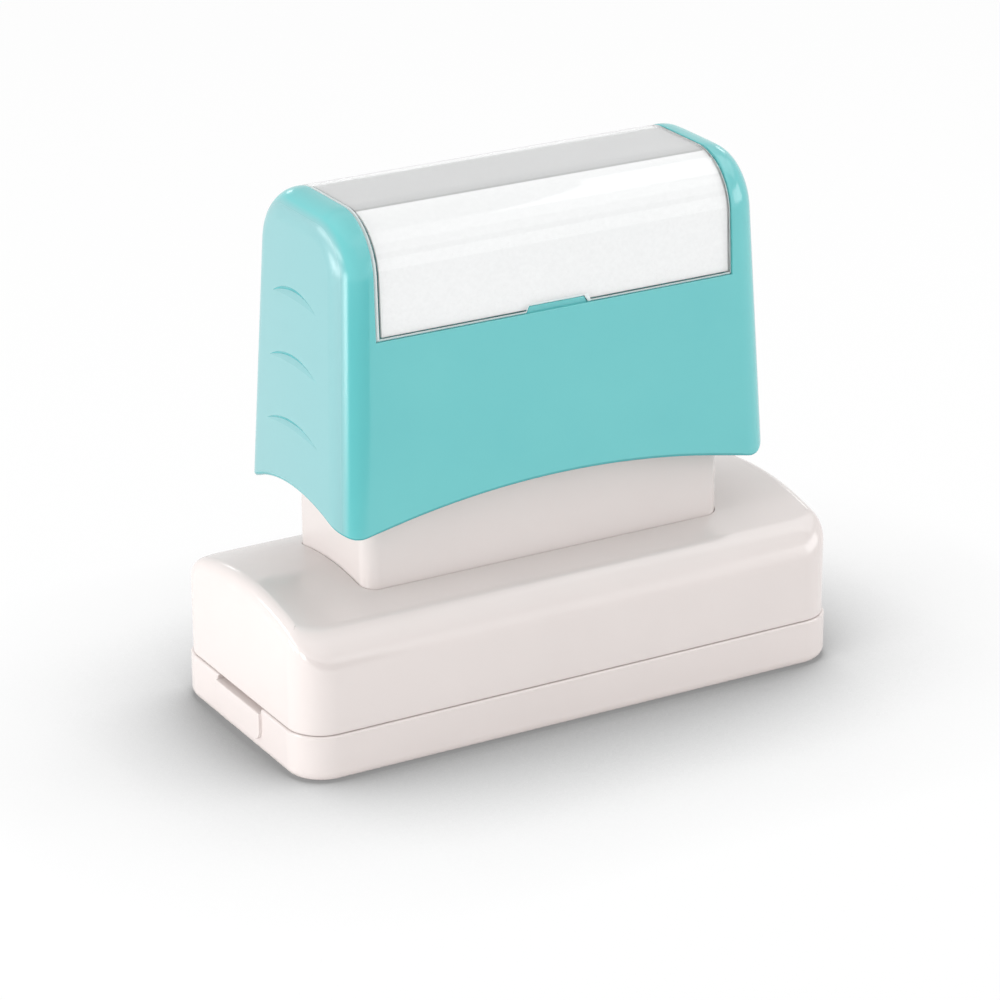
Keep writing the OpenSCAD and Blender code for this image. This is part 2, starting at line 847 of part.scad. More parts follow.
coil = [
    for (k = [0 : spring_turns * turn_rings])
        let (t = k / turn_rings)
        [coil_radius * cos(360 * t), coil_radius * sin(360 * t), spring_low + spring_wire / 2 + coil_z(t)]
];

self_gap = min([
    for (i = [0 : len(coil) - 1], j = [i + turn_rings - 2 : 1 : len(coil) - 1])
        norm(coil[i] - coil[j])
]) - spring_wire;
echo(spring_self_gap = self_gap);

module return_spring() {
    r = spring_wire / 2;
    rings = [
        for (k = [0 : len(coil) - 1], s = [0 : wire_sides - 1])
            let (a = 360 * k / turn_rings, b = 360 * s / wire_sides)
            coil[k] + r * [cos(b) * cos(a), cos(b) * sin(a), sin(b)]
    ];
    n = wire_sides;
    last = (len(coil) - 1) * n;
    skin = [
        for (k = [0 : len(coil) - 2], s = [0 : n - 1])
            let (a = k * n + s, b = k * n + (s + 1) % n)
            each [[a, b, b + n], [a, b + n, a + n]]
    ];
    caps = [[for (s = [n - 1 : -1 : 0]) s], [for (s = [0 : n - 1]) last + s]];
    polyhedron(rings, concat(skin, caps));
}

module spring_left() {
    color(steel)
    translate([-spring_x, 0, 0])
        return_spring();
}

module spring_right() {
    color(steel)
    translate([spring_x, 0, 0])
        return_spring();
}

dust_cap();
base_housing();
neck_sleeve();
sleeve_screws();
spring_left();
spring_right();
handle_shell();
plunger();
plunger_screws();
die_tray();
ink_reservoir();
print_die();
die_frame();
index_card();
window_cover();
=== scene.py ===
# %% [markdown]
# # A pre-inked hand stamp, built around its construction
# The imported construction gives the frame: where each piece sits, how large it is and what moves.
# Here the pieces that show are modelled again with their soft edges and given their finish.
# Lengths are written in millimetres and turned into metres where they are used.

import math

import bmesh
import bpy
from mathutils import Matrix, Vector


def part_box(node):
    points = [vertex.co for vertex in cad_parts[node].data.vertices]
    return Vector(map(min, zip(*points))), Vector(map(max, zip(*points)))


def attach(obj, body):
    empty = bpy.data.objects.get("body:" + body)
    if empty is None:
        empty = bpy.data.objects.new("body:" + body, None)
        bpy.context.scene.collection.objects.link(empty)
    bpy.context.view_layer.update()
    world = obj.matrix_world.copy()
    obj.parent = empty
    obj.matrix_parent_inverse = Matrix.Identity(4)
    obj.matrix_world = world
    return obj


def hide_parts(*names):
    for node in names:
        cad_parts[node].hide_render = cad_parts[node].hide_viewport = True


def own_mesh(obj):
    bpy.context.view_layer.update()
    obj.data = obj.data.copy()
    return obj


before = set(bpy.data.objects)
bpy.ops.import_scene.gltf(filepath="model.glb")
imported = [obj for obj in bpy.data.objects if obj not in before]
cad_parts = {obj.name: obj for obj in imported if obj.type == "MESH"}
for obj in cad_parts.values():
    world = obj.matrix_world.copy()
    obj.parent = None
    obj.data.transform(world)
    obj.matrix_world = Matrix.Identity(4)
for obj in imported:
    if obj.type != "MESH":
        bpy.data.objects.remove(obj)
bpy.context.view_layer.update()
MM = 0.001

# %% [markdown]
# ## Tools of the bench
# A few short helpers keep the steps readable: add a block between two corners, open a piece for editing,
# pick its faces or edges by where they are, shift whole rows of points, and cut one piece with another.

# %% Helpers for blocks and edit mode
NEARLY = 0.9  # a direction counts as along an axis above this share
UPRIGHT = 0.3  # a face counts as a wall while it climbs less than this
DOWNWARDS = -0.5  # a face counts as looking down below this
CLOSE = 0.1  # a place counts as the same within these millimetres
SHARP, SQUARE = 40, 60  # folds in degrees that count as an edge, and as a square one
MERGE, COARSE_MERGE = 0.002, 0.004  # points this near are one, in millimetres


def only(piece):
    """Makes one piece the selected and active one."""
    bpy.ops.object.select_all(action="DESELECT")
    piece.select_set(True)
    bpy.context.view_layer.objects.active = piece


def settle(piece, name):
    """Writes a new piece's place into its points and names it."""
    bpy.ops.object.transform_apply(location=True, rotation=True, scale=True)
    piece.name = name
    piece.data.name = name
    return piece


def add_block(name, low, high):
    """A block between two corners."""
    bpy.ops.object.select_all(action="DESELECT")
    middle = [(a + b) / 2 * MM for a, b in zip(low, high)]
    size = [(b - a) * MM for a, b in zip(low, high)]
    bpy.ops.mesh.primitive_cube_add(size=1, location=middle, scale=size)
    return settle(bpy.context.object, name)


def add_rod(name, radius, length, middle, turn=(0, 0, 0), sides=96):
    """A round rod about its own Z, turned by degrees and moved to its middle."""
    bpy.ops.object.select_all(action="DESELECT")
    bpy.ops.mesh.primitive_cylinder_add(
        vertices=sides,
        radius=radius * MM,
        depth=length * MM,
        location=[x * MM for x in middle],
        rotation=[math.radians(x) for x in turn],
    )
    return settle(bpy.context.object, name)


def edit(piece):
    only(piece)
    bpy.ops.object.mode_set(mode="EDIT")


def done():
    bpy.ops.object.mode_set(mode="OBJECT")


def where(part):
    """Middle of a vertex, edge or face, in millimetres."""
    if isinstance(part, bmesh.types.BMVert):
        return part.co / MM
    if isinstance(part, bmesh.types.BMEdge):
        return (part.verts[0].co + part.verts[1].co) / (2 * MM)
    return part.calc_center_median() / MM


def run(edge):
    """Direction of an edge, without its sign."""
    way = (edge.verts[1].co - edge.verts[0].co).normalized()
    return Vector([abs(x) for x in way])


def fold(edge):
    """Angle between the two faces at an edge, in degrees."""
    return math.degrees(edge.calc_face_angle(0))


def square_edge(edge):
    """An edge that stands out and whose faces meet about squarely."""
    return edge.is_convex and fold(edge) > SQUARE


def pick(kind, test):
    """Selects the vertices, edges or faces that pass the test, and counts them."""
    bpy.ops.mesh.select_mode(type=kind)
    bpy.ops.mesh.select_all(action="DESELECT")
    shape = bmesh.from_edit_mesh(bpy.context.object.data)
    parts = {"VERT": shape.verts, "EDGE": shape.edges, "FACE": shape.faces}[kind]
    chosen = [part for part in parts if test(part)]
    for part in chosen:
        part.select_set(True)
    shape.select_flush_mode()
    bmesh.update_edit_mesh(bpy.context.object.data)
    return len(chosen)


# %% Helpers for rows, cuts and finishing


def slice_rows(axis, places, test=None):
    """Cuts a row of edges through the faces that pass the test, at each place along an axis."""
    normal = [float(i == axis) for i in range(3)]
    for place in places:
        pick("FACE", test or (lambda f: True))
        point = [place * MM * n for n in normal]
        bpy.ops.mesh.bisect(plane_co=point, plane_no=normal)


def shift_points(test, rule):
    """Moves points by a rule of their place in millimetres; those with the same step go together."""
    shape = bmesh.from_edit_mesh(bpy.context.object.data)
    steps = {}
    for v in shape.verts:
        if test(where(v)):
            step = tuple(round(x, 4) for x in rule(where(v)))
            steps.setdefault(step, set()).add(v.index)
    for step, members in steps.items():
        pick("VERT", lambda v: v.index in members)
        bpy.ops.transform.translate(value=[x * MM for x in step])
    return len(steps)


def raise_faces(height, shrink=(1, 1)):
    """Extrudes the selected faces to a height, and draws them in about the middle."""
    shape = bmesh.from_edit_mesh(bpy.context.object.data)
    now = where(next(f for f in shape.faces if f.select)).z
    step = (0, 0, (height - now) * MM)
    bpy.ops.mesh.extrude_region_move(TRANSFORM_OT_translate={"value": step})
    bpy.ops.transform.resize(value=(*shrink, 1), center_override=(0, 0, height * MM))


def round_edges(test, radius, steps):
    """Bevels the edges that pass the test."""
    count = pick("EDGE", test)
    bpy.ops.mesh.bevel(offset=radius * MM, offset_type="OFFSET", segments=steps, affect="EDGES")
    return count


def boolean(piece, others, kind):
    """Takes other pieces out of this one, or adds them to it, and removes them."""
    for other in others:
        only(piece)
        tool = piece.modifiers.new("boolean", "BOOLEAN")
        tool.operation = kind
        tool.solver = "EXACT"
        tool.object = other
        bpy.ops.object.modifier_apply(modifier=tool.name)
        only(other)
        bpy.ops.object.delete()


def cut(piece, *cutters):
    boolean(piece, cutters, "DIFFERENCE")


def weld(piece, *others):
    boolean(piece, others, "UNION")


def copied(piece, step=(0, 0, 0), turn=0):
    """A copy with its own mesh, moved by millimetres and turned about Z by degrees."""
    only(piece)
    bpy.ops.object.duplicate()
    copy = bpy.context.object
    if turn:
        bpy.ops.transform.rotate(value=math.radians(turn), orient_axis="Z", center_override=(0, 0, 0))
    bpy.ops.transform.translate(value=[x * MM for x in step])
    return settle(copy, piece.name)


def merge_points(reach):
    """Merges the points of the open piece that lie within reach of each other."""
    bpy.ops.mesh.select_all(action="SELECT")
    bpy.ops.mesh.remove_doubles(threshold=reach * MM)


def tidy(piece, angle=16):
    """Merges doubled points, turns faces outwards and smooths all but edges; flat faces stay flat."""
    edit(piece)
    merge_points(MERGE)
    bpy.ops.mesh.normals_make_consistent(inside=False)
    if bmesh.from_edit_mesh(piece.data).calc_volume(signed=True) < 0:
        bpy.ops.mesh.flip_normals()
    done()
    only(piece)
    bpy.ops.object.shade_smooth_by_angle(angle=math.radians(angle))
    tool = piece.modifiers.new("even", "WEIGHTED_NORMAL")
    tool.keep_sharp = True
    tool.weight = 60
    bpy.ops.object.modifier_apply(modifier=tool.name)


def tell(piece):
    size = [round(x / MM, 2) for x in piece.dimensions]
    print(piece.name, size, "mm,", len(piece.data.polygons), "faces")


# %% [markdown]
# ## The handle
# The teal handle is one injection moulding: a loaf with drafted sides, long rounded shoulders and
# rounded ends. A block tapered towards the top gives the draft, and two bevels give the shoulders and
# the rounded ends. The ends of the real moulding bulge a little, so their rows are drawn back towards
# the sides by a square law.

# %% Handle: the loaf
low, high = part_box("handle_shell")
FOOT, TOP = low.z / MM, high.z / MM
HALF_X, HALF_Y = 34.5, 14.8
SIDE_DRAFT, END_DRAFT = math.radians(2.7), math.radians(2.6)
SHOULDER, END_ROUND, BULGE = 8.3, 4.0, 0.6
BULGE_ZONE, BULGE_ROW = 8, 1.5

handle = add_block("handle_moulding", (-HALF_X, -HALF_Y, FOOT), (HALF_X, HALF_Y, TOP))
edit(handle)
pick("FACE", lambda f: f.normal.z > NEARLY)
top_x = 1 - (TOP - FOOT) * math.tan(END_DRAFT) / HALF_X
top_y = 1 - (TOP - FOOT) * math.tan(SIDE_DRAFT) / HALF_Y
bpy.ops.transform.resize(value=(top_x, top_y, 1))

shoulder_reach = SHOULDER * math.tan((math.pi / 2 - SIDE_DRAFT) / 2)
round_edges(lambda e: run(e).x > NEARLY and where(e).z > TOP - CLOSE, shoulder_reach, steps=20)


def on_end(edge):
    return any(abs(f.normal.x) > NEARLY for f in edge.link_faces)


round_edges(lambda e: on_end(e) and where(e).z > FOOT + CLOSE, END_ROUND, steps=12)
slice_rows(1, [BULGE_ROW * i for i in range(-6, 7)], lambda f: f.normal.z > DOWNWARDS)
steps = shift_points(
    lambda p: abs(p.x) > HALF_X - BULGE_ZONE,
    lambda p: (-math.copysign(BULGE, p.x) * (p.y / HALF_Y) ** 2, 0, 0),
)
done()
print("steps of the bulge:", steps)
tell(handle)

# %% [markdown]
# ## The window's recess
# The clear cover lies flush in a shallow recess that runs over the top and down the front and the rear.
# The recess is outlined on the loaf's skin; its skin is copied first, because cover and card have the
# same curve. Then the outlined faces are pushed in along their normals.

# %% Handle: recess, and the skin that cover and card are made from
SILL, RECESS_HALF, RECESS_DEPTH = 59.0, 27.8, 1.8

edit(handle)
slice_rows(0, (-RECESS_HALF, RECESS_HALF))
slice_rows(2, (SILL,), lambda f: abs(f.normal.y) > NEARLY and abs(where(f).x) < RECESS_HALF)


def in_window(face):
    place = where(face)
    return abs(place.x) < RECESS_HALF and place.z > SILL and face.normal.z > DOWNWARDS


pick("FACE", in_window)
bpy.ops.mesh.duplicate()
bpy.ops.mesh.separate(type="SELECTED")
pick("FACE", in_window)
bpy.ops.mesh.extrude_region_shrink_fatten(
    TRANSFORM_OT_shrink_fatten={"value": -RECESS_DEPTH * MM, "use_even_offset": True}
)
done()
skin = next(o for o in bpy.context.selected_objects if o != handle)
skin.name = "window_skin"
tell(handle)
tell(skin)

# %% [markdown]
# ## The inside of the handle
# The moulding is a shell: an even wall round the skirt, a shelf below the recess and a thin roof above.
# The underside is inset by the wall and pushed up in steps, and each step is drawn in to follow the
# outside.

# %% Handle: the hollow
WALL, SHELF = 2.2, 57.2
COLUMN, LAST_COLUMN = 2.4, 29
# Height, half length and half width of each step, from the inset underside up to the roof.
HOLLOW_FOOT = (FOOT, 31.7, 12.6)
HOLLOW = (
    (SHELF, 30.54, 11.4),
    (SHELF, 30.54, 10.0),
    (67.3, 30.08, 9.47),
    (70.6, 29.93, 8.13),
    (72.0, 29.87, 4.81),
)

edit(handle)
columns = [COLUMN * i for i in range(-11, 12)] + [-LAST_COLUMN, LAST_COLUMN]
slice_rows(0, columns, lambda f: abs(f.normal.y) > NEARLY and where(f).z < SILL)
pick("FACE", lambda f: f.normal.z < -NEARLY and where(f).z < FOOT + CLOSE)
bpy.ops.mesh.inset(thickness=WALL * MM, use_even_offset=True)
for (_, old_x, old_y), (height, new_x, new_y) in zip((HOLLOW_FOOT, *HOLLOW), HOLLOW):
    raise_faces(height, (new_x / old_x, new_y / old_y))
done()
tell(handle)

# %% [markdown]
# ## The scalloped rim
# The lower rim rises in four shallow arches, so that the handle stands on four soft corners. The front
# and rear were sliced into columns before the hollow was made; now each point of the rim is lifted onto
# the arch above it, and the rim stays one clean row of faces.


# %% Handle: arches in the rim
ARCH, FRONT_ARCH, END_ARCH = 3.7, 30.9, 14.2


def arch_radius(half_chord, rise):
    return (half_chord**2 + rise**2) / (2 * rise)


def arch_height(place, half_chord, rise):
    """Height of an arch over its chord."""
    if abs(place) > half_chord:
        return 0
    radius = arch_radius(half_chord, rise)
    return math.sqrt(radius**2 - place**2) - radius + rise


def lift_rim(place):
    """Step of a rim point along the drafted wall onto the higher of the two arches."""
    front, end = arch_height(place.x, FRONT_ARCH, ARCH), arch_height(place.y, END_ARCH, ARCH)
    if end > front:
        return (-math.copysign(math.tan(END_DRAFT) * end, place.x), 0, end)
    return (0, -math.copysign(math.tan(SIDE_DRAFT) * front, place.y), front)


edit(handle)
steps = shift_points(lambda p: p.z < FOOT + CLOSE, lift_rim)
done()
print("steps of the arches:", steps)
tell(handle)

# %% [markdown]
# ## Grip crescents
# Each end has three shallow crescents for the fingers, deep under their upper arc and running out below.
# They could be pressed in by moving points, but a cut keeps the upper edge crisp. The cutter is a rod
# across the end for the upper arc, flared outwards so that the wall shows from above, and cut away by a
# large rod that leans outwards.

# %% Handle: crescents in both ends
CRESCENT_RISE, CRESCENT_FALL, CRESCENT_FLOOR, CRESCENT_FLARE = 1.9, 0.8, 70.0, 1.7
CRESCENT_WIDTH, CRESCENT_TAPER, CRESCENT_LOW, CRESCENT_PITCH = 16.4, 1.6, 11.3, 9.3
FLOOR_LENGTH = 200


def end_place(height):
    """Half length of the handle on its middle line."""
    return HALF_X - math.tan(END_DRAFT) * height


def crescent_cutter(width, height):
    """Cutter of one crescent, in the right end."""
    radius = arch_radius(width / 2, CRESCENT_RISE)
    slope = CRESCENT_FALL / CRESCENT_RISE
    sag = (width / 2) ** 2 / (2 * CRESCENT_FLOOR) - BULGE * (width / (2 * HALF_Y)) ** 2
    middle = CRESCENT_RISE - radius
    arc = add_rod("crescent", radius, 2 * WALL, (0, 0, middle), (0, 90, 0), sides=192)
    edit(arc)
    for side in (-1, 1):
        pick("FACE", lambda f: f.normal.x * side > NEARLY)
        flare = 1 + side * CRESCENT_FLARE * WALL / radius
        centre = (side * WALL * MM, 0, middle * MM)
        bpy.ops.transform.resize(value=(1, flare, flare), center_override=centre)
    done()
    floor_rod = add_rod("crescent_floor", CRESCENT_FLOOR, FLOOR_LENGTH, (-CRESCENT_FLOOR, 0, 0), sides=720)
    only(floor_rod)
    bpy.ops.transform.rotate(value=math.atan(slope), orient_axis="Y", center_override=(0, 0, 0))
    bpy.ops.transform.translate(value=(0, 0, sag / slope * MM))
    settle(floor_rod, "crescent_floor")
    cut(arc, floor_rod)
    only(arc)
    bpy.ops.transform.rotate(value=END_DRAFT, orient_axis="Y", center_override=(0, 0, 0))
    bpy.ops.transform.translate(value=(end_place(height) * MM, 0, (FOOT + height) * MM))
    return settle(arc, "crescent")


for step in range(3):
    width = CRESCENT_WIDTH - CRESCENT_TAPER * step
    crescent = crescent_cutter(width, CRESCENT_LOW + CRESCENT_PITCH * step)
    cut(handle, copied(crescent, turn=180), crescent)
tell(handle)

# %% [markdown]
# ## The ledge in the notch
# The cover has a notch in its front edge for a fingernail, and the handle's teal shows through it. A
# small ledge of the handle fills the notch from behind, so ledge and notch are made by the same helper:
# a block with slanted flanks, smaller by a gap where it has to fit.

# %% Handle: ledge behind the cover's notch
COVER_SILL, NOTCH, NOTCH_RISE, NOTCH_LEDGE, NOTCH_GAP = 59.05, 9.6, 0.9, 0.45, 0.1
NOTCH_FOOT, LEDGE_ROOT = SILL - 0.6, 0.5


def notch_block(name, near, far, gap):
    """A block with the notch's slanted flanks between two places across the stamp."""
    half, top = NOTCH / 2 - gap, COVER_SILL + NOTCH_RISE - gap
    block = add_block(name, (-half, near, NOTCH_FOOT), (half, far, top))
    edit(block)
    slice_rows(2, (COVER_SILL,))
    pick("FACE", lambda f: f.normal.z > NEARLY)
    bpy.ops.transform.resize(value=(1 - NOTCH_RISE / NOTCH, 1, 1))
    done()
    return block


front = HALF_Y - math.tan(SIDE_DRAFT) * (SILL - FOOT)
ledge = notch_block("ledge", NOTCH_LEDGE - front, RECESS_DEPTH + LEDGE_ROOT - front, NOTCH_GAP)
weld(handle, ledge)
tell(handle)

# %% [markdown]
# ## Edges of the handle
# A mould never leaves a knife edge: the lower rim is well rounded, and the recess has a fine break all
# round. The edges are picked by the faces that meet there, so the arches and the corners are rounded in
# one go.


# %% Handle: rounded rim and broken edges
RIM_ROUND, RIM_ZONE, RECESS_BREAK, RECESS_ZONE = 0.7, FOOT + ARCH + 1, 0.12, SILL - 0.3


def on_rim(edge):
    """An edge between the outside and the cut underside of the skirt."""
    if not edge.is_convex or fold(edge) < SHARP or where(edge).z > RIM_ZONE:
        return False
    under = [f for f in edge.link_faces if f.normal.z < DOWNWARDS]
    outside = [f for f in edge.link_faces if abs(f.normal.z) < UPRIGHT and f.normal.dot(where(f)) > 0]
    return len(under) == 1 and len(outside) == 1


def on_recess(edge):
    """A square edge round the recess."""
    return square_edge(edge) and edge.is_manifold and where(edge).z > RECESS_ZONE


edit(handle)
merge_points(COARSE_MERGE)
rim = round_edges(on_rim, RIM_ROUND, steps=8)
breaks = round_edges(on_recess, RECESS_BREAK, steps=3)
done()
tidy(handle)
print("rim edges", rim, "recess edges", breaks)
tell(handle)

# %% [markdown]
# ## The clear cover
# A clear moulding snaps over the recess and holds the card: a thin sheet with a deeper rib at both ends.
# A bent plate would never follow the loaf exactly, but the skin that was copied from it does. It is
# trimmed a little smaller than the recess, thickened inwards, and its ends are pushed in further for the
# ribs.


# %% Cover and card start from the same skin
TRIM_REACH = 0.001


def trim_skin(name, half, sill):
    """A copy of the window's skin, trimmed at both ends and at its lower edges."""
    only(skin)
    bpy.ops.object.duplicate()
    piece = bpy.context.object
    piece.name = name
    piece.data.name = name
    edit(piece)
    planes = (((half, 0, 0), (1, 0, 0)), ((-half, 0, 0), (-1, 0, 0)), ((0, 0, sill), (0, 0, -1)))
    for point, normal in planes:
        bpy.ops.mesh.select_all(action="SELECT")
        bpy.ops.mesh.bisect(
            plane_co=[x * MM for x in point], plane_no=normal, clear_outer=True, threshold=TRIM_REACH * MM
        )
    done()
    return piece


def thicken(piece, depth):
    """Turns a skin into a sheet of that thickness, inwards."""
    only(piece)
    tool = piece.modifiers.new("sheet", "SOLIDIFY")
    tool.thickness = depth * MM
    tool.offset = -1
    tool.use_even_offset = True
    bpy.ops.object.modifier_apply(modifier=tool.name)


COVER, COVER_HALF, RIB, RIB_DEPTH = 0.45, 27.75, 0.35, 1.65
SKIN_MIDDLE, INNER_LOOK = 62, -0.8
cover = trim_skin("window_clear", COVER_HALF, COVER_SILL)
thicken(cover, COVER)


def facing(place, normal):
    """How far a face of the sheet looks outwards: 1 on the outer skin, -1 on the inner one."""
    return normal.dot(Vector((0, place.y, place.z - SKIN_MIDDLE)).normalized())


edit(cover)
slice_rows(0, (RIB - COVER_HALF, COVER_HALF - RIB))
pick("FACE", lambda f: facing(where(f), f.normal) < INNER_LOOK and abs(where(f).x) > COVER_HALF - RIB)
bpy.ops.mesh.extrude_region_shrink_fatten(
    TRANSFORM_OT_shrink_fatten={"value": (RIB_DEPTH - COVER) * MM, "use_even_offset": True}
)
done()
tell(cover)

# %% [markdown]
# ## Notch and border of the cover
# The front edge is notched so that a nail can pry the cover off. All round, the outer skin ends in a
# chamfer; it and the ribs are not clear but pale and nearly opaque, a painted highlight that makes the pale
# border of the window; its faces are found by where they look.

# %% Cover: pry notch and the border with a painted highlight
CHAMFER, POLISH = 0.38, 0.06
NOTCH_FRONT, NOTCH_BACK = -16, -10
SKIN_LOOK, SIDE_LOOK, STRIP_TOP = 0.88, 0.3, COVER_SILL + NOTCH_RISE + 0.6


def on_border(edge):
    """An edge where the outer skin ends."""
    return fold(edge) > SHARP and max(facing(where(f), f.normal) for f in edge.link_faces) > NEARLY


notch = notch_block("notch", NOTCH_FRONT, NOTCH_BACK, 0)
card_notch = copied(notch)
cut(cover, notch)
edit(cover)
borders = round_edges(lambda e: e.is_convex and on_border(e), CHAMFER, steps=1)
edges = round_edges(square_edge, POLISH, steps=2)
done()
tidy(cover)


def on_strip(face):
    """A face of the chamfer round the window, or of the ribs, that gets the painted highlight."""
    place, look = face.center / MM, facing(face.center / MM, face.normal)
    if abs(place.x) > COVER_HALF - RIB - TRIM_REACH:
        return look < SKIN_LOOK
    return place.z < STRIP_TOP and SIDE_LOOK < look < SKIN_LOOK


strip = [on_strip(face) for face in cover.data.polygons]
print("borders", borders, "polished edges", edges, "faces of the satin strip", sum(strip))
tell(cover)

# %% [markdown]
# ## The index card
# A thin card follows the inside of the cover and lies loose, a little to the right. Its top panel is folded
# over, so there is a crease along the front shoulder; the crease and the greyer top panel are only painted
# in the card's finish, as painted shade. The skin is trimmed smaller, moved inwards and thickened, and the
# notch is cut into it too, so that it clears the ledge.

# %% Card
CARD_HALF, CARD_SILL, CARD_INSET, CARD, CARD_PLAY = 27.03, 59.5, 0.5, 0.3, 0.27
card = trim_skin("label_card", CARD_HALF, CARD_SILL)
edit(card)
bpy.ops.mesh.select_all(action="SELECT")
bpy.ops.transform.shrink_fatten(value=-CARD_INSET * MM, use_even_offset=True)
done()
thicken(card, CARD)
bpy.ops.transform.translate(value=(CARD_PLAY * MM, 0, 0))
settle(card, "label_card")
cut(card, card_notch)
tidy(card)
only(skin)
bpy.ops.object.delete()
tell(card)

# %% [markdown]
# ## The housing
# The cream housing is a low box with round corners whose roof is crowned across its width. The block
# gets its corners first, then a roll-over round the roof that is wide in front and narrow at the ends.
# Then the roof is sliced in rows along the stamp, and each row is lowered to a large circle.

# %% Housing: outside
SEAM, CROWN, CROWN_RADIUS = 6.88, 23.5, 50.0
HOUSE_X, HOUSE_Y, HOUSE_CORNER = 42.65, 19.15, 5.15
ROLL_SIDE, ROLL_END, ROOF_ROW = 4.4, 2.0, 1.7

housing = add_block("housing_moulding", (-HOUSE_X, -HOUSE_Y, SEAM), (HOUSE_X, HOUSE_Y, CROWN))
edit(housing)
round_edges(lambda e: run(e).z > NEARLY, HOUSE_CORNER, steps=16)
done()


SAME_WAY = 0.0002  # walls whose normals differ less than this share a roll-over


def roof_edges(piece):
    """Sets how wide each edge of the roof is rolled over, as a share of the widest."""
    edit(piece)
    shape = bmesh.from_edit_mesh(piece.data)
    ways = {}
    for edge in shape.edges:
        if where(edge).z > CROWN - CLOSE:
            wall = next(f for f in edge.link_faces if abs(f.normal.z) < UPRIGHT)
            ways.setdefault(round(abs(wall.normal.y), 4), None)
    for way in ways:

        def beside(face):
            return abs(face.normal.z) < UPRIGHT and abs(abs(face.normal.y) - way) < SAME_WAY

        pick("EDGE", lambda e: where(e).z > CROWN - CLOSE and any(beside(f) for f in e.link_faces))
        roll = ROLL_END + (ROLL_SIDE - ROLL_END) * way**2
        bpy.ops.transform.edge_bevelweight(value=roll / ROLL_SIDE)
    done()
    return len(ways)


print("roll-over widths", roof_edges(housing))
only(housing)
tool = housing.modifiers.new("roll", "BEVEL")
tool.limit_method = "WEIGHT"
tool.width = ROLL_SIDE * MM
tool.segments = 10
tool.use_clamp_overlap = False
bpy.ops.object.modifier_apply(modifier=tool.name)

edit(housing)
slice_rows(1, [ROOF_ROW * i for i in range(-8, 9)], lambda f: where(f).z > CROWN - ROLL_SIDE - CLOSE)
steps = shift_points(
    lambda p: p.z > SEAM + 1,
    lambda p: (0, 0, math.sqrt(CROWN_RADIUS**2 - p.y**2) - CROWN_RADIUS),
)
done()
print("steps of the crown:", steps)
tell(housing)

# %% [markdown]
# ## The inside of the housing
# Below the seam a lip stands out that the dust cap closes over; above it the box is hollow for the die
# and its tray. The underside is inset and pushed down for the lip, inset again and pushed up for the
# hollow.

# %% Housing: lip, hollow and the hole for the neck
LIP_Z, LIP_STEP, LIP_WALL, LIP_TOP = 2.8, 1.3, 1.8, 8.75
LIP_INSIDE, ROOM_INSIDE = (79.1, 32.1), (81.3, 34.3)
# Height of each step of the ceiling, and how it is drawn in along and across.
CEILING = ((14.6, 1, 1), (18.2, 0.985, 0.84), (21.2, 0.985, 0.4))
NECK_X, NECK_Y, NECK_CORNER, NECK_GAP = 28.4, 10.3, 2.2, 0.06
HOLE_BREAK, HOLE_ZONE, SEAM_BREAK, SEAM_ZONE = 0.15, CROWN - 4, 0.12, 0.05
edit(housing)
pick("FACE", lambda f: f.normal.z < -NEARLY and where(f).z < SEAM + CLOSE)
bpy.ops.mesh.inset(thickness=LIP_STEP * MM, use_even_offset=True)
raise_faces(LIP_Z)
bpy.ops.mesh.inset(thickness=LIP_WALL * MM, use_even_offset=True)
raise_faces(LIP_TOP)
raise_faces(LIP_TOP, [new / old for new, old in zip(ROOM_INSIDE, LIP_INSIDE)])
for height, *shrink in CEILING:
    raise_faces(height, shrink)
done()


def add_column(name, half_x, half_y, corner, low, high, steps=12):
    """An upright block with rounded corners."""
    piece = add_block(name, (-half_x, -half_y, low), (half_x, half_y, high))
    edit(piece)
    round_edges(lambda e: run(e).z > NEARLY, corner, steps)
    done()
    return piece


hole = [size + NECK_GAP for size in (NECK_X, NECK_Y, NECK_CORNER)]
cut(housing, add_column("neck_hole", *hole, low=12, high=30))
edit(housing)
merge_points(COARSE_MERGE)
round_edges(lambda e: square_edge(e) and where(e).z > HOLE_ZONE, HOLE_BREAK, steps=2)
round_edges(lambda e: square_edge(e) and abs(where(e).z - SEAM) < SEAM_ZONE, SEAM_BREAK, steps=2)
done()
tidy(housing)
tell(housing)

# %% [markdown]
# ## The neck
# A cream column stands on a flange under the roof and carries the handle and the springs. Its deck has a
# slot for the plunger and two posts that centre the springs.

# %% Neck
low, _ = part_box("neck_sleeve")
FLANGE, FLANGE_X, FLANGE_Y, FLANGE_HEIGHT = low.z / MM, 35.4, 12.3, 2.2
DECK, DECK_WALL, DECK_ROUND = 49.4, 2, 0.3
INSIDE_X, INSIDE_Y = 26.8, 8.7
SLOT_X, SLOT_Y, SLOT_CORNER = 13.25, 5.75, 1
POST, POST_TOP, POST_ROOT, POST_ROUND, SPRING_PLACE = 2.3, DECK + 5, DECK - 1, 0.4, 19.9

neck = add_column("neck_column", NECK_X, NECK_Y, NECK_CORNER, FLANGE + FLANGE_HEIGHT, DECK)
edit(neck)
round_edges(lambda e: where(e).z > DECK - CLOSE, DECK_ROUND, steps=3)
pick("FACE", lambda f: f.normal.z < -NEARLY)
raise_faces(FLANGE + FLANGE_HEIGHT, (FLANGE_X / NECK_X, FLANGE_Y / NECK_Y))
raise_faces(FLANGE)
raise_faces(FLANGE, (INSIDE_X / FLANGE_X, INSIDE_Y / FLANGE_Y))
raise_faces(DECK - DECK_WALL)
done()
cut(neck, add_column("slot", SLOT_X, SLOT_Y, SLOT_CORNER, FLANGE - 1, DECK + 1))
post_middle = (SPRING_PLACE, 0, (POST_ROOT + POST_TOP) / 2)
post = add_rod("post", POST, POST_TOP - POST_ROOT, post_middle, sides=48)
edit(post)
round_edges(lambda e: fold(e) > SQUARE and where(e).z > POST_TOP - CLOSE, POST_ROUND, steps=3)
done()
